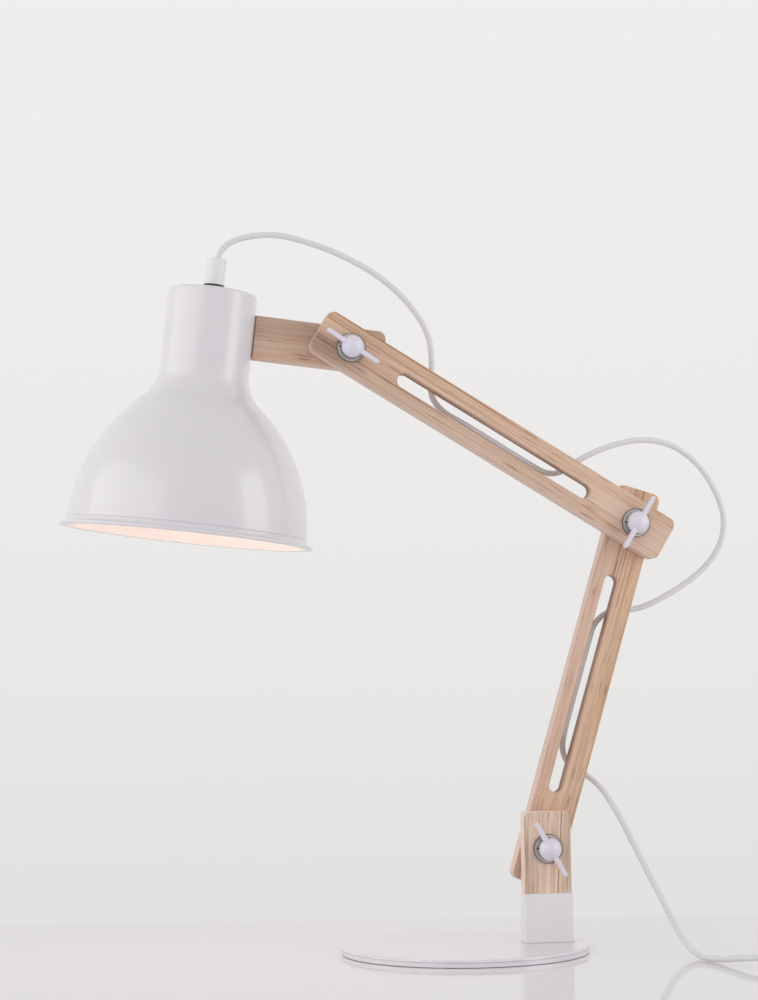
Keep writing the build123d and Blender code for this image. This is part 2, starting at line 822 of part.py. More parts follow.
def bend_radii(points):
    """As large an arc at each corner as its runs allow: 0.45 of the shorter over tan of half the turn."""
    radii = []
    for before, corner, after in zip(points, points[1:], points[2:]):
        run_in = Vector(*corner) - Vector(*before)
        run_out = Vector(*after) - Vector(*corner)
        half_turn = radians(run_in.get_angle(run_out)) / 2
        radii.append(0.45 * min(run_in.length, run_out.length) / tan(half_turn))
    return radii


def cord_stretch(name, points):
    """A round cord along straight runs joined by tangent arcs."""
    radii = bend_radii(points)
    with BuildPart() as stretch:
        with BuildLine() as route:
            FilletPolyline(*points, radius=radii)
        first_heading = Vector(*points[1]) - Vector(*points[0])
        with BuildSketch(Plane(origin=points[0], z_dir=first_heading)):
            Circle(cord_radius)
        sweep(path=route.wires()[0])
    route_length = route.wires()[0].length
    plain_volume = pi * cord_radius**2 * route_length
    print(f"{name}: length {route_length:.0f} mm, least radius {min(radii):.1f} mm")
    print(f"{name}: volume over section times length {stretch.part.volume / plain_volume:.4f}")
    print(f"{name}: radii", [round(r) for r in radii])
    return stretch


save(cord_stretch("cord_head", cord_route_head), "cord_head")
save(cord_stretch("cord_elbow", cord_route_elbow), "cord_elbow")
save(cord_stretch("cord_drop", cord_route_drop), "cord_drop")

# Put-away cord: a lead from the switch, a two-layer coil that winds in and out, and a tail to the plug
coil_low = floor_gap + coil_lift + cord_radius
coil_high = coil_low + coil_pitch
coil_inner_radius = coil_outer_radius - coil_turns_per_layer * coil_pitch
coil_turns = 2 * coil_turns_per_layer + coil_last_half_turns / 2
climb_turns = 0.5
switch_end_x = switch_x + switch_length / 2


def coil_point(turns):
    """Place and direction after this many turns from the front of the coil."""
    inward = min(turns, coil_turns_per_layer)
    outward = max(turns - coil_turns_per_layer, 0)
    radius = coil_outer_radius - coil_pitch * inward + coil_pitch * outward
    winding = 0.0 if turns in (0, coil_turns_per_layer, coil_turns) else (1 if outward else -1)
    share = min(max((turns - coil_turns_per_layer) / climb_turns + 0.5, 0), 1)
    height = coil_low + coil_pitch * share * share * (3 - 2 * share)
    rise = coil_pitch * 6 * share * (1 - share) / climb_turns
    angle = 2 * pi * turns - pi / 2
    place = Vector(coil_x + radius * cos(angle), coil_y + radius * sin(angle), height)
    spread = winding * coil_pitch
    heading = Vector(
        spread * cos(angle) - 2 * pi * radius * sin(angle),
        spread * sin(angle) + 2 * pi * radius * cos(angle),
        rise,
    )
    return place, heading.normalized()


def biarc(start, start_heading, end, end_heading):
    """Two arcs that meet smoothly, from one place and direction to another."""
    chord = end - start
    both = start_heading + end_heading
    apart = 1 - start_heading.dot(end_heading)
    reach = (sqrt(chord.dot(both) ** 2 + 2 * apart * chord.dot(chord)) - chord.dot(both)) / (2 * apart)
    first_corner = start + start_heading * reach
    last_corner = end - end_heading * reach
    middle = (first_corner + last_corner) / 2
    TangentArc(start, middle, tangent=start_heading)
    TangentArc(middle, end, tangent=last_corner - first_corner)


quarter_turns = [quarter / 4 for quarter in range(ceil(4 * coil_turns) + 1)]
coil_places = [coil_point(turns) for turns in quarter_turns]
coil_start = coil_places[0][0]
coil_end, coil_end_heading = coil_places[-1]
plug_entry = coil_end + coil_end_heading * plug_tail_length
with BuildPart() as cord_coil:
    with BuildLine() as coil_route:
        lead_start = Vector(switch_end_x, switch_y, switch_cord_height)
        lead_bend = Vector(switch_end_x + 2 * cord_radius, switch_y, switch_cord_height)
        Line(lead_start, lead_bend)
        lead_middle = (lead_bend + coil_start) / 2
        TangentArc(lead_bend, lead_middle, tangent=(1, 0, 0))
        TangentArc(coil_start, lead_middle, tangent=(-1, 0, 0))
        for (start, start_heading), (end, end_heading) in zip(coil_places, coil_places[1:]):
            biarc(start, start_heading, end, end_heading)
        Line(coil_end, plug_entry)
    with BuildSketch(Plane(origin=lead_start, z_dir=(1, 0, 0))):
        Circle(cord_radius)
    sweep(path=coil_route.wires()[0])
save(cord_coil, "cord_coil")

# Least gap of the coil to itself, measured on points a quarter of a turn or more apart along it
coil_samples = [coil_point(step / 72)[0] for step in range(round(72 * coil_turns) + 1)]
coil_gap = min(
    (coil_samples[i] - coil_samples[j]).length
    for i in range(len(coil_samples))
    for j in range(i + 18, len(coil_samples))
)
coil_length = coil_route.wires()[0].length
coil_section_volume = pi * cord_radius**2 * coil_length
print(f"cord_coil: length {coil_length:.0f} mm, least gap to itself {coil_gap - 2 * cord_radius:.2f} mm")
print(f"cord_coil: volume over section times length {cord_coil.part.volume / coil_section_volume:.4f}")

# Tie round the bundle, on the coil's right side
tie_low = coil_low - cord_radius - tie_gap
tie_high = coil_high + cord_radius + tie_gap
tie_inner = coil_inner_radius - cord_radius - tie_gap
tie_outer = coil_outer_radius + coil_pitch / 2 + cord_radius + tie_gap
tie_middle = Vector(coil_x + (tie_inner + tie_outer) / 2, coil_y, (tie_low + tie_high) / 2)
with BuildPart() as coil_tie:
    with BuildSketch(Plane(origin=tie_middle, x_dir=(1, 0, 0), z_dir=toward_viewer)):
        RectangleRounded(
            tie_outer - tie_inner + 2 * tie_thickness,
            tie_high - tie_low + 2 * tie_thickness,
            tie_corner + tie_thickness,
        )
        RectangleRounded(tie_outer - tie_inner, tie_high - tie_low, tie_corner, mode=Mode.SUBTRACT)
    extrude(amount=tie_width / 2, both=True)
save(coil_tie, "coil_tie")

# Inline switch: two halves, a rocker on pins, and screws from below
switch_top = floor_gap + switch_height
switch_split = floor_gap + switch_split_height
rocker_pivot = Vector(switch_x, switch_y, switch_top - rocker_pivot_below_top)
window_length = rocker_length + 2 * rocker_gap
window_width = rocker_width + 2 * rocker_gap
cord_tunnel = Plane(origin=(switch_x, switch_y, switch_cord_height), x_dir=(0, 1, 0), z_dir=(1, 0, 0))


def switch_half(low, high, rounded_end):
    """One half of the housing, hollow and open towards the split, with its outer edge rounded."""
    with BuildPart() as half:
        with BuildSketch(Plane((switch_x, switch_y, low))):
            RectangleRounded(switch_length, switch_width, switch_corner)
        extrude(amount=high - low)
        fillet(half.faces().sort_by(Axis.Z)[rounded_end].edges(), switch_edge_round)
        hollow_low = low if rounded_end else low + switch_wall
        with BuildSketch(Plane((switch_x, switch_y, hollow_low))):
            hollow_length = switch_length - 2 * switch_wall
            hollow_width = switch_width - 2 * switch_wall
            RectangleRounded(hollow_length, hollow_width, switch_corner - switch_wall)
        extrude(amount=high - low - switch_wall, mode=Mode.SUBTRACT)
        with BuildSketch(Plane((switch_x, switch_y, low))):
            with GridLocations(switch_screw_spacing, 0, 2, 1):
                Circle(switch_screw_head_radius + switch_wall)
        extrude(amount=high - low - (switch_edge_round if rounded_end else 0))
    return half


with BuildPart() as switch_base:
    add(switch_half(floor_gap, switch_split, 0).part)
    with Locations(Plane(origin=(switch_x, switch_y, floor_gap), z_dir=(0, 0, -1))):
        with GridLocations(switch_screw_spacing, 0, 2, 1):
            CounterBoreHole(
                radius=switch_screw_radius + drill_gap,
                counter_bore_radius=switch_screw_head_radius + drill_gap,
                counter_bore_depth=switch_screw_head_height + drill_gap,
                depth=switch_split_height,
            )
    with BuildSketch(cord_tunnel):
        Circle(cord_radius + running_gap)
    extrude(amount=switch_length / 2, both=True, mode=Mode.SUBTRACT)
save(switch_base, "switch_base")

with BuildPart() as switch_cover:
    add(switch_half(switch_split, switch_top, -1).part)
    with BuildSketch(Plane((switch_x, switch_y, switch_split))):
        Rectangle(window_length + 2 * switch_wall, window_width + 2 * switch_wall)
    extrude(amount=switch_top - switch_split - switch_wall / 2)
    with BuildSketch(Plane((switch_x, switch_y, switch_split))):
        Rectangle(window_length, window_width)
    extrude(amount=switch_height, mode=Mode.SUBTRACT)
    with BuildSketch(Plane(origin=rocker_pivot, x_dir=(1, 0, 0), z_dir=toward_viewer)):
        Circle(rocker_pin_radius + running_gap)
    extrude(amount=rocker_width / 2 + rocker_pin_length, both=True, mode=Mode.SUBTRACT)
    with Locations(Plane(origin=(switch_x, switch_y, switch_split), z_dir=(0, 0, -1))):
        with GridLocations(switch_screw_spacing, 0, 2, 1):
            Hole(switch_screw_radius + running_gap, depth=floor_gap + switch_screw_length - switch_split)
save(switch_cover, "switch_cover")

with BuildPart() as switch_rocker:
    rocker_view = Plane(
        origin=rocker_pivot,
        x_dir=(cos(radians(rocker_tilt)), 0, -sin(radians(rocker_tilt))),
        z_dir=toward_viewer,
    )
    with BuildSketch(rocker_view):
        with BuildLine():
            half = rocker_length / 2
            ear = rocker_ear_height
            low_right = (half * 0.5, -rocker_below_pivot)
            low_left = (-half * 0.5, -rocker_below_pivot)
            Polyline((half, ear), (half, 0), low_right, low_left, (-half, 0), (-half, ear))
            ThreePointArc((-half, ear), (0, ear - rocker_hollow), (half, ear))
        make_face()
    extrude(amount=rocker_width / 2, both=True)
    with BuildSketch(rocker_view):
        Circle(rocker_pin_radius)
    extrude(amount=rocker_width / 2 + rocker_pin_length - running_gap, both=True)
save(switch_rocker, "switch_rocker")

with BuildPart() as switch_screws:
    for side in (-1, 1):
        foot = Vector(switch_x + side * switch_screw_spacing / 2, switch_y, floor_gap + drill_gap)
        with BuildSketch(Plane(foot)):
            Circle(switch_screw_head_radius)
        extrude(amount=switch_screw_head_height)
        with BuildSketch(Plane(foot)):
            Circle(switch_screw_radius)
        extrude(amount=switch_screw_length - drill_gap - running_gap)
save(switch_screws, "switch_screws")

# Plug: a flat body with a tapered strain relief, and two round pins set into it
plug_heading = coil_end_heading
plug_height = 2 * (plug_entry.Z - floor_gap)
plug_face = plug_entry + plug_heading * (plug_relief_length + plug_length)
plug_view = Plane(origin=plug_entry, x_dir=plug_heading, z_dir=(0, 0, 1))
with BuildPart() as plug_body:
    with BuildSketch(plug_view.offset(-plug_height / 2)) as plug_outline:
        with BuildLine():
            shoulder_x = plug_relief_length + plug_length * 0.55
            face_x = plug_relief_length + plug_length
            Polyline(
                (plug_relief_length, -plug_neck_width / 2),
                (shoulder_x, -plug_width / 2),
                (face_x, -plug_width / 2),
                (face_x, plug_width / 2),
                (shoulder_x, plug_width / 2),
                (plug_relief_length, plug_neck_width / 2),
                close=True,
            )
        make_face()
        fillet(plug_outline.vertices().group_by(Axis.X)[1], plug_corner)
    extrude(amount=plug_height)
    fillet(plug_body.faces().filter_by(Axis.Z).edges(), plug_edge_round)
    relief_start = Plane(origin=plug_entry, x_dir=(0, 0, 1), z_dir=plug_heading)
    with BuildSketch(relief_start):
        Circle(plug_relief_tip_radius)
    with BuildSketch(relief_start.offset(plug_relief_length + plug_edge_round)):
        Circle(plug_relief_root_radius)
    loft()
    pin_places = Plane(origin=plug_face, x_dir=plug_view.y_dir, z_dir=plug_heading)
    with BuildSketch(pin_places):
        with GridLocations(pin_spacing, 0, 2, 1):
            Circle(pin_radius + running_gap)
    extrude(amount=-pin_root, mode=Mode.SUBTRACT)
save(plug_body, "plug_body")

with BuildPart() as plug_pins:
    with BuildSketch(pin_places.offset(-pin_root)):
        with GridLocations(pin_spacing, 0, 2, 1):
            Circle(pin_radius)
    extrude(amount=pin_root + pin_length)
    chamfer(plug_pins.faces().filter_by(Axis.X).sort_by(Axis.X)[:2].edges(), pin_radius * 0.4)
save(plug_pins, "plug_pins")

print("pivots", [round(v, 1) for p in (shoulder, elbow, head_pivot, neck_top) for v in (p.X, p.Z)])
print("back layer", round(back_bar_front_y, 2), round(back_bar_back_y, 2), "neck top", round(neck_top.Y, 2))
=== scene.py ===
import math
from collections import namedtuple

import bmesh
import bpy
from mathutils import Euler, Matrix, Vector


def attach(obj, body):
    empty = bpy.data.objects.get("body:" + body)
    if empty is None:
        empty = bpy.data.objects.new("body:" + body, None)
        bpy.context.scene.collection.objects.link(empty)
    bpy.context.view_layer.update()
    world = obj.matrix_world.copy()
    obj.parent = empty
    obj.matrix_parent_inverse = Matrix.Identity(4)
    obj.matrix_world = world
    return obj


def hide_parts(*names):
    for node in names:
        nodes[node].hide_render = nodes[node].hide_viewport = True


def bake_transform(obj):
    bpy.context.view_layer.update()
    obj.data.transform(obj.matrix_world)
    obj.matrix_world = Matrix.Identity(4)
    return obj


# Looks of the swing-arm table lamp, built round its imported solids. Metres, in the frame of the solids.
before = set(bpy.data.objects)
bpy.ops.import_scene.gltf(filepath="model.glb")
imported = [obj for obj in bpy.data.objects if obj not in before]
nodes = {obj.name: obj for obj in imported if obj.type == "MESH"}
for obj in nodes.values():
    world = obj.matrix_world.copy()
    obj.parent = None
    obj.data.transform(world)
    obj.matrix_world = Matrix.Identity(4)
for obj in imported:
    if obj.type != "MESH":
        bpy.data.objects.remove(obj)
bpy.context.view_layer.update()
scene = bpy.context.scene
scene.view_settings.view_transform = "Standard"

# Sizes that the pieces share with the solids
cord_radius = 0.00225
flat_washer_radius = 0.0108
disc_radius = 0.090
shoulder = Vector((0.0615, 0.0, 0.0737))
arm_span = 0.25
post_angle = math.radians(90)
lower_arm_angle = math.radians(73.2)
upper_arm_angle = math.radians(148.8)
head_angle = math.radians(-6.5)
front_layer_y = -0.0007
back_layer_y = 0.0133

# Slots of the arms: half length, half width, and the offset from the bar's middle
upper_slot = (0.084, 0.0055, 0.0)
lower_slot = (0.084, 0.00525, 0.0028)


def along(angle):
    """The direction at this angle above +X, in the plane of the arms."""
    return Vector((math.cos(angle), 0.0, math.sin(angle)))


elbow = shoulder + arm_span * along(lower_arm_angle)
head_pivot = elbow + arm_span * along(upper_arm_angle)

# Camera at the photograph's viewing angle
camera_place = Vector((-0.33462, -1.59129, 0.20423))
camera_azimuth = math.radians(9.81)
camera_pitch = math.radians(4.48)
camera_roll = math.radians(-0.76)
camera_lens = 79.2
camera_sensor = 36.0
camera_near = 0.05
camera_far = 50.0


def make_camera():
    forward = Vector(
        (
            math.sin(camera_azimuth) * math.cos(camera_pitch),
            math.cos(camera_azimuth) * math.cos(camera_pitch),
            math.sin(camera_pitch),
        )
    )
    level_right = Vector((math.cos(camera_azimuth), -math.sin(camera_azimuth), 0.0))
    level_up = level_right.cross(forward)
    right = math.cos(camera_roll) * level_right + math.sin(camera_roll) * level_up
    up = math.cos(camera_roll) * level_up - math.sin(camera_roll) * level_right
    data = bpy.data.cameras.new("camera")
    data.lens = camera_lens
    data.sensor_width = camera_sensor
    data.clip_start = camera_near
    data.clip_end = camera_far
    camera = bpy.data.objects.new("camera", data)
    axes = Matrix((right, up, -forward)).transposed().to_4x4()
    camera.matrix_world = Matrix.Translation(camera_place) @ axes
    scene.collection.objects.link(camera)
    scene.camera = camera


make_camera()

# Cord route, point by point, from the cord grip to the inline switch
route_head = [
    (-0.17924, 0.01253, 0.48735),
    (-0.1773, 0.01215, 0.5042),
    (-0.1749, 0.0121, 0.5155),
    (-0.1660, 0.0124, 0.5242),
    (-0.1490, 0.0129, 0.5288),
    (-0.1310, 0.0130, 0.5298),
    (-0.1100, 0.0130, 0.5248),
    (-0.0880, 0.0125, 0.5175),
    (-0.0580, 0.0120, 0.5020),
    (-0.0350, 0.0120, 0.4825),
    (-0.0185, 0.0120, 0.4590),
    (-0.0150, 0.0125, 0.4360),
    (-0.0185, 0.0120, 0.4115),
    (-0.0100, 0.0080, 0.3975),
    (0.0050, 0.0030, 0.3885),
    (0.0200, 0.00225, 0.37915),
]
route_elbow = [
    (0.0200, 0.00225, 0.37915),
    (0.0350, 0.0015, 0.3698),
    (0.0550, 0.0030, 0.3580),
    (0.0700, 0.0080, 0.3505),
    (0.0840, 0.0130, 0.3530),
    (0.0980, 0.0145, 0.3635),
    (0.1220, 0.0150, 0.3740),
    (0.1480, 0.0160, 0.3790),
    (0.1710, 0.0170, 0.3750),
    (0.1910, 0.0180, 0.3610),
    (0.2050, 0.0190, 0.3410),
    (0.2130, 0.0200, 0.3180),
    (0.2085, 0.0210, 0.2960),
    (0.1940, 0.0225, 0.2780),
    (0.1710, 0.0245, 0.2620),
    (0.1430, 0.0270, 0.2485),
    (0.1235, 0.0265, 0.2500),
    (0.1076, 0.0195, 0.2405),
    (0.1020, 0.0162, 0.2265),
    (0.0973, 0.0161, 0.2110),
]
route_drop = [
    (0.0973, 0.0161, 0.2110),
    (0.0926, 0.0160, 0.1955),
    (0.0846, 0.0160, 0.1690),
    (0.0812, 0.0174, 0.1560),
    (0.0808, 0.0216, 0.1438),
    (0.0870, 0.0265, 0.1330),
    (0.0990, 0.0270, 0.1265),
    (0.1102, 0.0210, 0.1170),
    (0.1203, 0.0090, 0.0965),
    (0.1285, -0.0025, 0.0740),
    (0.1370, -0.0130, 0.0520),
    (0.1445, -0.0235, 0.0320),
    (0.1466, -0.0410, 0.0185),
    (0.1469, -0.0620, 0.0094),
    (0.1483, -0.0830, 0.0035),
    (0.1535, -0.1010, 0.00235),
    (0.1603, -0.1185, 0.0043),
    (0.1675, -0.1345, 0.0068),
    (0.1770, -0.1470, 0.0082),
    (0.1910, -0.1545, 0.0085),
    (0.2060, -0.1565, 0.0085),
    (0.2190, -0.1565, 0.0085),
]
curve_order = 3
curve_steps = 8
tube_sides = 36

# Put-away coil: two layers, wound in and then out, with a lead from the switch and a tail to the plug
switch_end = Vector((0.279, -0.1565, 0.0085))
coil_lead = [Vector((0.0, 0.0, 0.0)), Vector((0.010, 0.0, 0.0)), Vector((0.025, 0.0, -0.0052))]
coil_middle = Vector((0.314, -0.1265, 0.0))
coil_outer_radius = 0.030
coil_pitch = 0.0051
coil_turns_in = 2
coil_turns = 4.5
coil_climb_turns = 0.5
coil_low = 0.0033
coil_steps_per_turn = 24
plug_tail = 0.020
plug_tail_shares = (0.3, 0.65, 1.0)


def coil_place(turns):
    """Where the cord is after this many turns from the front of the coil."""
    inward = min(turns, coil_turns_in)
    outward = max(turns - coil_turns_in, 0.0)
    radius = coil_outer_radius - coil_pitch * (inward - outward)
    share = min(max((turns - coil_turns_in) / coil_climb_turns + 0.5, 0.0), 1.0)
    height = coil_low + coil_pitch * share * share * (3 - 2 * share)
    angle = 2 * math.pi * turns - math.pi / 2
    return coil_middle + Vector((radius * math.cos(angle), radius * math.sin(angle), height))


def coil_route():
    lead = [switch_end + step for step in coil_lead]
    steps = round(coil_turns * coil_steps_per_turn)
    turns = [coil_place(step / coil_steps_per_turn) for step in range(steps + 1)]
    tail = [turns[-1] + Vector((-plug_tail * share, 0.0, 0.0)) for share in plug_tail_shares]
    return lead + turns + tail


def smooth_curve(name, points):
    """A NURBS curve with the route's points as its control points."""
    curve = bpy.data.curves.new(name, "CURVE")
    curve.dimensions = "3D"
    spline = curve.splines.new("NURBS")
    spline.points.add(len(points) - 1)
    for control, place in zip(spline.points, points):
        control.co = (*place, 1.0)
    spline.order_u = curve_order
    spline.use_endpoint_u = True
    spline.resolution_u = curve_steps
    return curve


def line_of(points):
    """Points along the smooth curve of a route."""
    carrier = bpy.data.objects.new("route", smooth_curve("route", points))
    scene.collection.objects.link(carrier)
    bpy.context.view_layer.update()
    line = bpy.data.meshes.new_from_object(carrier)
    places = [vertex.co.copy() for vertex in line.vertices]
    bpy.data.meshes.remove(line)
    bpy.data.objects.remove(carrier)
    return places


def add_object(name, mesh):
    piece = bpy.data.objects.new(name, mesh)
    scene.collection.objects.link(piece)
    return piece


def tube(name, places, radius):
    """A closed round tube along a line of points."""
    shape = bmesh.new()
    rings = []
    heading = (places[1] - places[0]).normalized()
    side = heading.orthogonal().normalized()
    for index, place in enumerate(places):
        before = places[max(index - 1, 0)]
        after = places[min(index + 1, len(places) - 1)]
        new_heading = (after - before).normalized()
        side = (heading.rotation_difference(new_heading) @ side).normalized()
        heading = new_heading
        other = heading.cross(side)
        ring = []
        for step in range(tube_sides):
            turn = 2 * math.pi * step / tube_sides
            ring.append(shape.verts.new(place + radius * (math.cos(turn) * side + math.sin(turn) * other)))
        rings.append(ring)
    for ring, following in zip(rings, rings[1:]):
        for step in range(tube_sides):
            right = (step + 1) % tube_sides
            shape.faces.new((ring[step], ring[right], following[right], following[step]))
    for cap in (shape.faces.new(list(reversed(rings[0]))), shape.faces.new(rings[-1])):
        for edge in cap.edges:
            edge.smooth = False
    mesh = bpy.data.meshes.new(name)
    shape.normal_update()
    shape.to_mesh(mesh)
    shape.free()
    mesh.shade_smooth()
    return add_object(name, mesh)


def make_cord(name, node, route):
    """A stretch of cord that stands for one solid."""
    places = line_of([Vector(point) for point in route])
    piece = tube(name, places, cord_radius)
    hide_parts(node)
    return piece


cord_head = make_cord("flex_head", "cord_head", route_head)
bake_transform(cord_head)
cord_elbow = make_cord("flex_elbow", "cord_elbow", route_elbow)
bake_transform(cord_elbow)
cord_drop = make_cord("flex_drop", "cord_drop", route_drop)
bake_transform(cord_drop)
cord_coil = make_cord("flex_coil", "cord_coil", coil_route())
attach(cord_coil, "base")


def linear(red, green, blue):
    """A colour as the shaders take it, from its values of 0 to 255 in a picture."""
    shares = [value / 255 for value in (red, green, blue)]
    return [s / 12.92 if s <= 0.04045 else ((s + 0.055) / 1.055) ** 2.4 for s in shares] + [1.0]


def dimmed(colour, share):
    return [value * share for value in colour[:3]] + [1.0]


class Nodes:
    """Short ways to add nodes to a tree. An input is set to a value or linked to another node's output."""

    def __init__(self, tree):
        self.tree = tree

    def add(self, kind, inputs=None, **properties):
        node = self.tree.nodes.new(kind)
        for name, value in properties.items():
            setattr(node, name, value)
        for socket, value in (inputs or {}).items():
            if isinstance(value, bpy.types.NodeSocket):
                self.tree.links.new(value, node.inputs[socket])
            else:
                node.inputs[socket].default_value = value
        return node

    def parts(self, vector):
        return self.add("ShaderNodeSeparateXYZ", {"Vector": vector}).outputs

    def length(self, vector):
        return self.add("ShaderNodeVectorMath", {0: vector}, operation="LENGTH").outputs["Value"]

    def scaled(self, place, scale):
        return self.add("ShaderNodeMapping", {"Vector": place, "Scale": scale}).outputs["Vector"]

    def seen_from(self, place, **axes):
        """The place as it is in axes with this Location, Rotation and Scale."""
        inputs = {"Vector": place, **axes}
        return self.add("ShaderNodeMapping", inputs, vector_type="TEXTURE").outputs["Vector"]

    def noise(self, place, scale, detail=2.0, roughness=0.5):
        inputs = {"Vector": place, "Scale": scale, "Detail": detail, "Roughness": roughness}
        return self.add("ShaderNodeTexNoise", inputs).outputs["Fac"]

    def remap(self, value, low, high, new_low, new_high):
        inputs = {"Value": value, "From Min": low, "From Max": high, "To Min": new_low, "To Max": new_high}
        return self.add("ShaderNodeMapRange", inputs).outputs["Result"]

    def combine(self, operation, first, second=0.0, **properties):
        inputs = {0: first, 1: second}
        return self.add("ShaderNodeMath", inputs, operation=operation, **properties).outputs[0]

    def ramp(self, value, stops):
        node = self.add("ShaderNodeValToRGB", {"Fac": value})
        elements = node.color_ramp.elements
        while len(elements) < len(stops):
            elements.new(0.5)
        for element, (position, colour) in zip(elements, stops):
            element.position = position
            element.color = colour
        return node.outputs["Color"]

    def mix(self, share, first, second, blend="MIX"):
        inputs = {0: share, 6: first, 7: second}
        return self.add("ShaderNodeMix", inputs, data_type="RGBA", blend_type=blend).outputs[2]


class Material(Nodes):
    """A Principled material."""

    def __init__(self, name):
        self.data = bpy.data.materials.new(name)
        self.data.use_nodes = True
        super().__init__(self.data.node_tree)
        self.shader = next(node for node in self.tree.nodes if node.type == "BSDF_PRINCIPLED")

    def set(self, **values):
        for socket, value in values.items():
            self.shader.inputs[socket.replace("_", " ")].default_value = value

    def link(self, source, socket):
        self.tree.links.new(source, self.shader.inputs[socket])

    def object_place(self):
        return self.add("ShaderNodeTexCoord").outputs["Object"]

    def bump(self, height, strength, distance):
        node = self.add("ShaderNodeBump", {"Height": height, "Strength": strength, "Distance": distance})
        self.link(node.outputs["Normal"], "Normal")


# Figure of the pine: waves per metre along and across the bar, the colours that darken it and how strongly
white = linear(255, 255, 255)
drift_waves = (6.0, 60.0)
drift_reach = 0.05
lined_from = 0.012
lined_to = 0.038
band_waves = (4.0, 210.0)
band_stops = [(0.36, linear(236, 224, 214)), (0.56, white)]
band_shares = (0.3, 0.8)
line_waves_along = 3.5
line_stops = [(0.32, linear(196, 166, 142)), (0.41, white)]
line_shares = (0.3, 0.85)
fibre_waves = (14.0, 1100.0)
fibre_stops = [(0.3, linear(226, 215, 206)), (0.56, white)]
fibre_relief = 0.18
fibre_height = 0.0002
tick_waves = (45.0, 900.0)
tick_limits = (0.67, 0.77)
tick_share = 0.55
tick_colour = linear(148, 108, 82)
wood_roughness = (0.60, 0.46)
wood_specular = 0.35

# Patches of another tone on the broad faces: full up to the core, gone at the edge, in shares of their reach
Patch = namedtuple("Patch", "middle reach strength tone blend")
patch_core = 0.3
patch_edge = 1.1

# Narrow faces, made paler as a painted highlight, and the walls of a slot, darkened towards the back of the
# bar as painted shade
narrow_limits = (0.35, 0.85)
edge_highlight_share = 0.3
edge_highlight_colour = linear(240, 226, 220)
wall_near = 0.0003
wall_far = 0.0007
slot_shade_depths = (-0.004, 0.001)
slot_shade_share = 0.85
slot_shade_tone = linear(186, 166, 154)

# How far the values of a noise mostly reach
noise_low = 0.3
noise_high = 0.7


def pine(
    name, middle, angle, plain, golden, shift, slot=None, line_waves_across=640.0, lean=0.01, patches=()
):
    """Pale pine, golden and lined on one side of the bar, pinker and plainer on the other."""
    wood = Material(name)
    in_bar = wood.seen_from(wood.object_place(), Location=middle, Rotation=Euler((0.0, -angle, 0.0)))
    place = wood.parts(in_bar)

    def figure(waves, detail=2.0, roughness=0.5, slant=0.0):
        """Noise drawn out along the bar, shifted for this bar and turned by the slant."""
        lengthwise, across = waves
        drawn_out = wood.seen_from(
            in_bar,
            Location=(shift, shift, shift),
            Rotation=(0.0, slant, 0.0),
            Scale=(1 / lengthwise, 1 / across, 1 / across),
        )
        return wood.noise(drawn_out, 1.0, detail, roughness)

    drift = wood.combine("MULTIPLY", figure(drift_waves), drift_reach)
    lined = wood.remap(wood.combine("ADD", drift, place["Z"]), lined_from, lined_to, 1.0, 0.0)
    colour = wood.mix(lined, plain, golden)
    bands = wood.ramp(figure(band_waves, roughness=0.6, slant=lean), band_stops)
    colour = wood.mix(wood.remap(lined, 0.0, 1.0, *band_shares), colour, bands, "MULTIPLY")
    line_waves = (line_waves_along, line_waves_across)
    lines = wood.ramp(figure(line_waves, detail=1.0, slant=lean), line_stops)
    colour = wood.mix(wood.remap(lined, 0.0, 1.0, *line_shares), colour, lines, "MULTIPLY")
    fibres = figure(fibre_waves, detail=3.0, roughness=0.6)
    colour = wood.mix(1.0, colour, wood.ramp(fibres, fibre_stops), "MULTIPLY")
    ticks = wood.remap(figure(tick_waves, detail=0.0), *tick_limits, 0.0, tick_share)
    colour = wood.mix(ticks, colour, tick_colour)

    facing = wood.parts(wood.add("ShaderNodeNewGeometry").outputs["Normal"])["Y"]
    narrow = wood.remap(wood.combine("ABSOLUTE", facing), *narrow_limits, 1.0, 0.0)
    broad = wood.combine("SUBTRACT", 1.0, narrow)
    for patch in patches:
        (x, z), (reach_x, reach_z) = patch.middle, patch.reach
        from_patch = wood.seen_from(in_bar, Location=(x, 0.0, z), Scale=(reach_x, 1.0, reach_z))
        reach = wood.length(wood.scaled(from_patch, (1.0, 0.0, 1.0)))
        inside = wood.remap(reach, patch_core, patch_edge, patch.strength, 0.0)
        colour = wood.mix(wood.combine("MULTIPLY", broad, inside), colour, patch.tone, patch.blend)

    # Painted highlight: narrow faces and rounded edges made paler, as where they catch the light.
    edge_highlight = wood.combine("MULTIPLY", narrow, edge_highlight_share)
    if slot is not None:
        half_length, half_width, offset = slot
        beyond = wood.combine("SUBTRACT", wood.combine("ABSOLUTE", place["X"]), half_length - half_width)
        aside = wood.combine("SUBTRACT", place["Z"], offset)
        from_slot = {"X": wood.combine("MAXIMUM", beyond), "Z": aside}
        reach = wood.length(wood.add("ShaderNodeCombineXYZ", from_slot).outputs[0])
        at_wall = wood.remap(reach, half_width + wall_near, half_width + wall_far, 1.0, 0.0)
        # Painted shade: the walls of the slot darken towards the back of the bar.
        slot_shade = wood.remap(place["Y"], *slot_shade_depths, 0.0, slot_shade_share)
        colour = wood.mix(wood.combine("MULTIPLY", at_wall, slot_shade), colour, slot_shade_tone, "MULTIPLY")
        edge_highlight = wood.combine("MULTIPLY", edge_highlight, wood.combine("SUBTRACT", 1.0, at_wall))
    wood.link(wood.mix(edge_highlight, colour, edge_highlight_colour), "Base Color")
    wood.link(wood.remap(fibres, noise_low, noise_high, *wood_roughness), "Roughness")
    wood.bump(fibres, fibre_relief, fibre_height)
    wood.set(Specular_IOR_Level=wood_specular)
    return wood.data


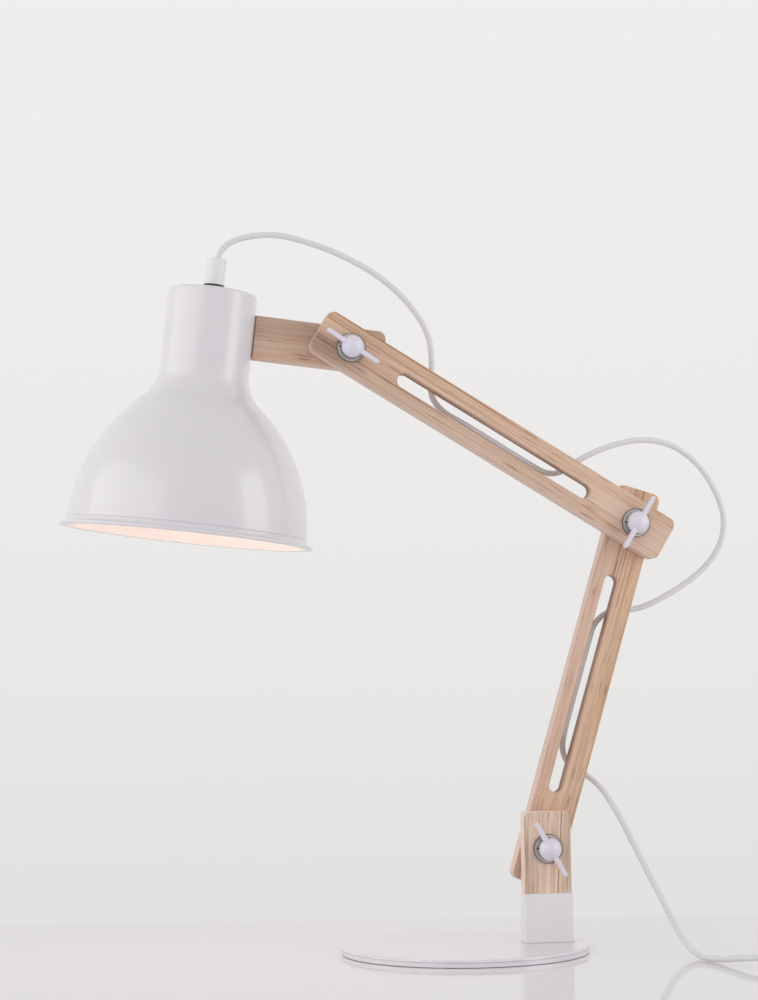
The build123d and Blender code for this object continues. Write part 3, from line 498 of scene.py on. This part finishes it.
# Enamel: soft clouds in its tone and gloss, an orange peel, and the width of the disc's paler rim, which is
# a painted highlight
cloud_scale = 22.0
cloud_limits = (0.15, 0.85)
cloud_dimming = 0.97
peel_scale = 620.0
peel_height = 0.0004
rim_inner = disc_radius - 0.0014
rim_outer = disc_radius - 0.0004


def enamel(name, colour, roughness, peel=0.04, coat=0.25, coat_roughness=0.25, rim_highlight_colour=None):
    """Sprayed enamel with a faint orange peel. The disc's is paler round its rim, a painted highlight."""
    paint = Material(name)
    place = paint.object_place()
    cloud = paint.noise(place, cloud_scale)
    tone = paint.mix(cloud, colour, dimmed(colour, cloud_dimming))
    # Painted highlight: the disc's enamel grows paler round its rim.
    if rim_highlight_colour is not None:
        reach = paint.length(paint.scaled(place, (1.0, 1.0, 0.0)))
        tone = paint.mix(paint.remap(reach, rim_inner, rim_outer, 0.0, 1.0), tone, rim_highlight_colour)
    paint.link(tone, "Base Color")
    paint.link(paint.remap(cloud, *cloud_limits, *roughness), "Roughness")
    paint.bump(paint.noise(place, peel_scale), peel, peel_height)
    paint.set(Coat_Weight=coat, Coat_Roughness=coat_roughness)
    return paint.data


# Metal: fine marks in one direction, and a washer's painted shade towards its rim
mark_scale = (60.0, 900.0, 60.0)
mark_dimming = 0.82
mark_relief = 0.05
mark_height = 0.0002
mark_roughness_spread = 0.25
washer_face = (0.62, 0.60, 0.59, 1.0)
washer_rim_shade = (0.22, 0.20, 0.19, 1.0)
washer_roughness = (0.30, 0.46)
washer_mark_scale = 900.0
rim_shade_inner = 0.0012
rim_shade_outer = 0.0004


def metal(name, colour, roughness):
    """Plain metal with fine working marks."""
    steel = Material(name)
    marks = steel.noise(steel.scaled(steel.object_place(), mark_scale), 1.0, detail=3.0)
    steel.link(steel.mix(marks, dimmed(colour, mark_dimming), colour), "Base Color")
    smoothest = roughness * (1 - mark_roughness_spread)
    roughest = roughness * (1 + mark_roughness_spread)
    steel.link(steel.remap(marks, noise_low, noise_high, smoothest, roughest), "Roughness")
    steel.bump(marks, mark_relief, mark_height)
    steel.set(Metallic=1.0)
    return steel.data


def washer_metal(name, pivot, rim_radius):
    """A bright plated washer, with painted shade darkening it towards its rim."""
    steel = Material(name)
    place = steel.object_place()
    reach = steel.length(steel.scaled(steel.seen_from(place, Location=pivot), (1.0, 0.0, 1.0)))
    # Painted shade: the washer darkens towards its rim.
    rim_shade = steel.remap(reach, rim_radius - rim_shade_inner, rim_radius - rim_shade_outer, 0.0, 1.0)
    steel.link(steel.mix(rim_shade, washer_face, washer_rim_shade), "Base Color")
    marks = steel.noise(place, washer_mark_scale)
    steel.link(steel.remap(marks, noise_low, noise_high, *washer_roughness), "Roughness")
    steel.set(Metallic=1.0)
    return steel.data


# Plastic, rubber and frosted glass: a fine grain, faint clouds, and the bulb's glow
grain_height = 0.0002
stain_scale = 30.0
stain_dimming = 0.94
grain_roughness_spread = 0.15
frost_scale = 900.0
frost_relief = 0.05
bulb_colour = (1.0, 0.93, 0.82, 1.0)
bulb_roughness = 0.45
glow_scale = 18.0
glow_amber = (1.0, 0.76, 0.53, 1.0)
glow_pale = (1.0, 0.80, 0.58, 1.0)
glow_strength = 6.6


def plastic(name, colour, roughness, grain=0.06, grain_scale=900.0):
    """Moulded plastic or rubber with a fine grain."""
    moulded = Material(name)
    place = moulded.object_place()
    speckle = moulded.noise(place, grain_scale)
    stain = moulded.noise(place, stain_scale)
    moulded.link(moulded.mix(stain, colour, dimmed(colour, stain_dimming)), "Base Color")
    smoothest = roughness * (1 - grain_roughness_spread)
    roughest = roughness * (1 + grain_roughness_spread)
    moulded.link(moulded.remap(speckle, noise_low, noise_high, smoothest, roughest), "Roughness")
    moulded.bump(speckle, grain, grain_height)
    return moulded.data


def lit_glass(name):
    """Frosted glass of a bulb that is switched on."""
    glass = Material(name)
    place = glass.object_place()
    glass.bump(glass.noise(place, frost_scale), frost_relief, grain_height)
    glass.set(Base_Color=bulb_colour, Roughness=bulb_roughness, Emission_Strength=glow_strength)
    glow = glass.mix(glass.noise(place, glow_scale, detail=1.0), glow_amber, glow_pale)
    glass.link(glow, "Emission Color")
    return glass.data


# Finishes of paint, metal, plastic and glass
white_enamel = enamel("white_enamel", linear(240, 238, 239), (0.42, 0.50), coat=0.05, coat_roughness=0.4)
# The disc's paler rim colour is a painted highlight on its rounded edge and wall.
disc_enamel = enamel(
    "disc_enamel",
    linear(218, 215, 217),
    (0.10, 0.14),
    peel=0.02,
    coat=0.4,
    coat_roughness=0.08,
    rim_highlight_colour=linear(229, 226, 231),
)
shade_enamel = enamel(
    "shade_enamel", linear(228, 225, 229), (0.30, 0.38), peel=0.03, coat=0.75, coat_roughness=0.15
)
nut_enamel = enamel("nut_enamel", linear(230, 225, 237), (0.22, 0.30))
zinc = metal("zinc_plate", (0.55, 0.55, 0.54, 1.0), 0.34)
spring_steel = metal("spring_steel", (0.42, 0.41, 0.40, 1.0), 0.36)
brass = metal("brass_sheet", (0.78, 0.58, 0.28, 1.0), 0.28)
bulb_metal = metal("bulb_aluminium", (0.72, 0.72, 0.73, 1.0), 0.30)
nickel = metal("nickel_pins", (0.74, 0.72, 0.69, 1.0), 0.2)
fibre_washer = plastic("dark_fibre", (0.035, 0.034, 0.036, 1.0), 0.7)
foot_rubber = plastic("foot_rubber", (0.62, 0.62, 0.62, 1.0), 0.75, grain=0.2)
grip_plastic = plastic("grip_plastic", linear(240, 238, 240), 0.38)
holder_plastic = plastic("holder_plastic", linear(226, 223, 218), 0.42)
cord_plastic = plastic("cord_plastic", linear(229, 228, 230), 0.30, grain=0.004, grain_scale=120.0)
switch_plastic = plastic("switch_plastic", linear(232, 230, 228), 0.34)
rocker_plastic = plastic("rocker_plastic", linear(214, 212, 210), 0.3)
tie_plastic = plastic("tie_plastic", (0.17, 0.17, 0.175, 1.0), 0.55)
bulb_glass = lit_glass("bulb_frosted")

# Pine of each bar: its plain and golden sides, how far its figure is shifted, and its patches
post_pine = pine(
    "pine_post",
    shoulder + Vector((0.0, front_layer_y, 0.0)),
    post_angle,
    plain=linear(246, 224, 208),
    golden=linear(244, 219, 200),
    shift=0.3,
    line_waves_across=330.0,
    lean=0.07,
    patches=[
        Patch((0.0, 0.0195), (0.080, 0.006), 1.0, linear(226, 220, 212), "MULTIPLY"),
        Patch((-0.035, 0.0165), (0.040, 0.010), 1.0, linear(232, 226, 220), "MULTIPLY"),
        Patch((0.0, -0.0175), (0.080, 0.008), 1.0, linear(224, 222, 220), "MULTIPLY"),
    ],
)
lower_pine = pine(
    "pine_lower_arm",
    shoulder + 0.5 * arm_span * along(lower_arm_angle) + Vector((0.0, back_layer_y, 0.0)),
    lower_arm_angle,
    plain=linear(228, 197, 178),
    golden=linear(225, 192, 162),
    shift=0.9,
    slot=lower_slot,
)
upper_pine = pine(
    "pine_upper_arm",
    elbow + 0.5 * arm_span * along(upper_arm_angle) + Vector((0.0, front_layer_y, 0.0)),
    upper_arm_angle,
    plain=linear(223, 195, 175),
    golden=linear(231, 200, 174),
    shift=1.7,
    slot=upper_slot,
    patches=[
        # The first patch darkens the wood round and past the head pivot: a darker end of the bar, and
        # painted shadow of the head wing nut.
        Patch((0.150, 0.009), (0.042, 0.013), 1.0, linear(212, 204, 202), "MULTIPLY"),
        Patch((0.085, 0.006), (0.060, 0.012), 1.0, linear(241, 238, 236), "MULTIPLY"),
        Patch((-0.112, -0.001), (0.060, 0.010), 0.6, linear(236, 208, 190), "MIX"),
        Patch((-0.150, 0.006), (0.030, 0.014), 0.5, linear(236, 208, 190), "MIX"),
    ],
)
# The head arm's tones are darker than the other bars': painted shade, for the shadow it lies in.
head_pine = pine(
    "pine_head_arm",
    head_pivot + Vector((0.0, back_layer_y, 0.0)),
    head_angle,
    plain=linear(204, 176, 158),
    golden=linear(226, 194, 172),
    shift=2.6,
)

finishes = {
    "post": post_pine,
    "lower_arm": lower_pine,
    "upper_arm": upper_pine,
    "head_arm": head_pine,
    "base_disc": disc_enamel,
    "post_sleeve": white_enamel,
    "shade": shade_enamel,
    "foot_pad": foot_rubber,
    "grip_spacer": fibre_washer,
    "cord_grip": grip_plastic,
    "holder_cap": holder_plastic,
    "holder_body": holder_plastic,
    "holder_insert": holder_plastic,
    "thread_sleeve": brass,
    "centre_contact": brass,
    "bulb_cap": bulb_metal,
    "bulb_globe": bulb_glass,
    "coil_tie": tie_plastic,
    "switch_cover": switch_plastic,
    "switch_base": switch_plastic,
    "switch_rocker": rocker_plastic,
    "plug_body": switch_plastic,
    "plug_pins": nickel,
}
pivots = {"shoulder": shoulder, "elbow": elbow, "head": head_pivot}
for place, pivot in pivots.items():
    finishes[f"{place}_bolt"] = zinc
    finishes[f"{place}_flat_washer"] = washer_metal(f"washer_{place}", pivot, flat_washer_radius)
    finishes[f"{place}_spring_washer"] = spring_steel
    finishes[f"{place}_friction_washer"] = fibre_washer
    finishes[f"{place}_wing_nut"] = nut_enamel
for name in ("base_screws", "shade_screws", "grip_screw", "nipple", "nipple_nut", "switch_screws"):
    finishes[name] = zinc


def paint(piece, material):
    piece.data.materials.clear()
    piece.data.materials.append(material)


for name, material in finishes.items():
    paint(nodes[name], material)
for piece in (cord_head, cord_elbow, cord_drop, cord_coil):
    paint(piece, cord_plastic)

# Stage: a pale glossy table top that ends behind the lamp and grows a little paler to the right
table_width = 5.0
table_depth = 4.0
table_back = Vector((-0.026, 0.223, 0.0002))
table_left_colour = linear(227, 225, 227)
table_right_colour = linear(234, 232, 234)
table_paling = (-0.25, 0.45)
table_cloud_scale = 6.0
table_roughness = (0.05, 0.07)


def make_table():
    left, right = -table_width / 2, table_width / 2
    corners = [(left, -table_depth), (right, -table_depth), (right, 0.0), (left, 0.0)]
    shape = bmesh.new()
    shape.faces.new([shape.verts.new((x, y, 0.0)) for x, y in corners])
    mesh = bpy.data.meshes.new("table_top")
    shape.to_mesh(mesh)
    shape.free()
    table = add_object("table_top", mesh)
    table.matrix_world = Matrix.Translation(table_back) @ Matrix.Rotation(-camera_azimuth, 4, "Z")
    top = Material("table_gloss")
    place = top.object_place()
    paling = top.remap(top.parts(place)["X"], *table_paling, 0.0, 1.0)
    top.link(top.mix(paling, table_left_colour, table_right_colour), "Base Color")
    cloud = top.noise(place, table_cloud_scale)
    top.link(top.remap(cloud, noise_low, noise_high, *table_roughness), "Roughness")
    paint(table, top.data)


make_table()

# Light: an even pale surround, a large soft light on the left and a weaker one on the right
surround_strength = 0.755
fill_bright_side = (0.15, 0.80, -0.75)
fill_stops = [(0.05, (0.78, 0.773, 0.782, 1.0)), (0.95, (1.0, 0.992, 1.0, 1.0))]
backdrop_stops = [
    (0.0, linear(226, 225, 224)),
    (0.455, linear(226, 226, 224)),
    (0.495, linear(232, 231, 230)),
    (0.55, linear(237, 235, 234)),
    (0.62, linear(240, 238, 237)),
]


def make_surround():
    """A backdrop for what is seen or mirrored, and a fill that only lights the lamp."""
    world = bpy.data.worlds.new("surround")
    scene.world = world
    world.use_nodes = True
    world.node_tree.nodes.clear()
    sky = Nodes(world.node_tree)
    direction = sky.add("ShaderNodeTexCoord").outputs["Generated"]
    height = sky.remap(sky.parts(direction)["Z"], -1.0, 1.0, 0.0, 1.0)
    backdrop = sky.add("ShaderNodeBackground", {"Color": sky.ramp(height, backdrop_stops)})
    towards = sky.add("ShaderNodeVectorMath", {0: direction, 1: fill_bright_side}, operation="DOT_PRODUCT")
    brightness = sky.remap(towards.outputs["Value"], -1.0, 1.0, 0.0, 1.0)
    fill_light = {"Color": sky.ramp(brightness, fill_stops), "Strength": surround_strength}
    fill = sky.add("ShaderNodeBackground", fill_light)
    rays = sky.add("ShaderNodeLightPath").outputs
    seen = sky.combine("ADD", rays["Is Camera Ray"], rays["Is Glossy Ray"])
    shown = sky.combine("ADD", seen, rays["Is Transmission Ray"], use_clamp=True)
    choice = sky.add("ShaderNodeMixShader", {0: shown, 1: fill.outputs[0], 2: backdrop.outputs[0]})
    sky.add("ShaderNodeOutputWorld", {"Surface": choice.outputs[0]})


def soft_light(name, place, target, width, height, power):
    data = bpy.data.lights.new(name, "AREA")
    data.shape = "RECTANGLE"
    data.size = width
    data.size_y = height
    data.energy = power
    light = bpy.data.objects.new(name, data)
    light.location = place
    light.rotation_euler = (Vector(target) - Vector(place)).to_track_quat("-Z", "Y").to_euler()
    scene.collection.objects.link(light)


make_surround()
soft_light("left_soft", (-1.57, -0.48, 0.7), (-0.1, 0.1, 0.3), width=2.5, height=1.4, power=11.4)
soft_light("right_soft", (1.13, -0.70, 0.55), (-0.18, 0.0, 0.4), width=0.7, height=1.3, power=5.4)
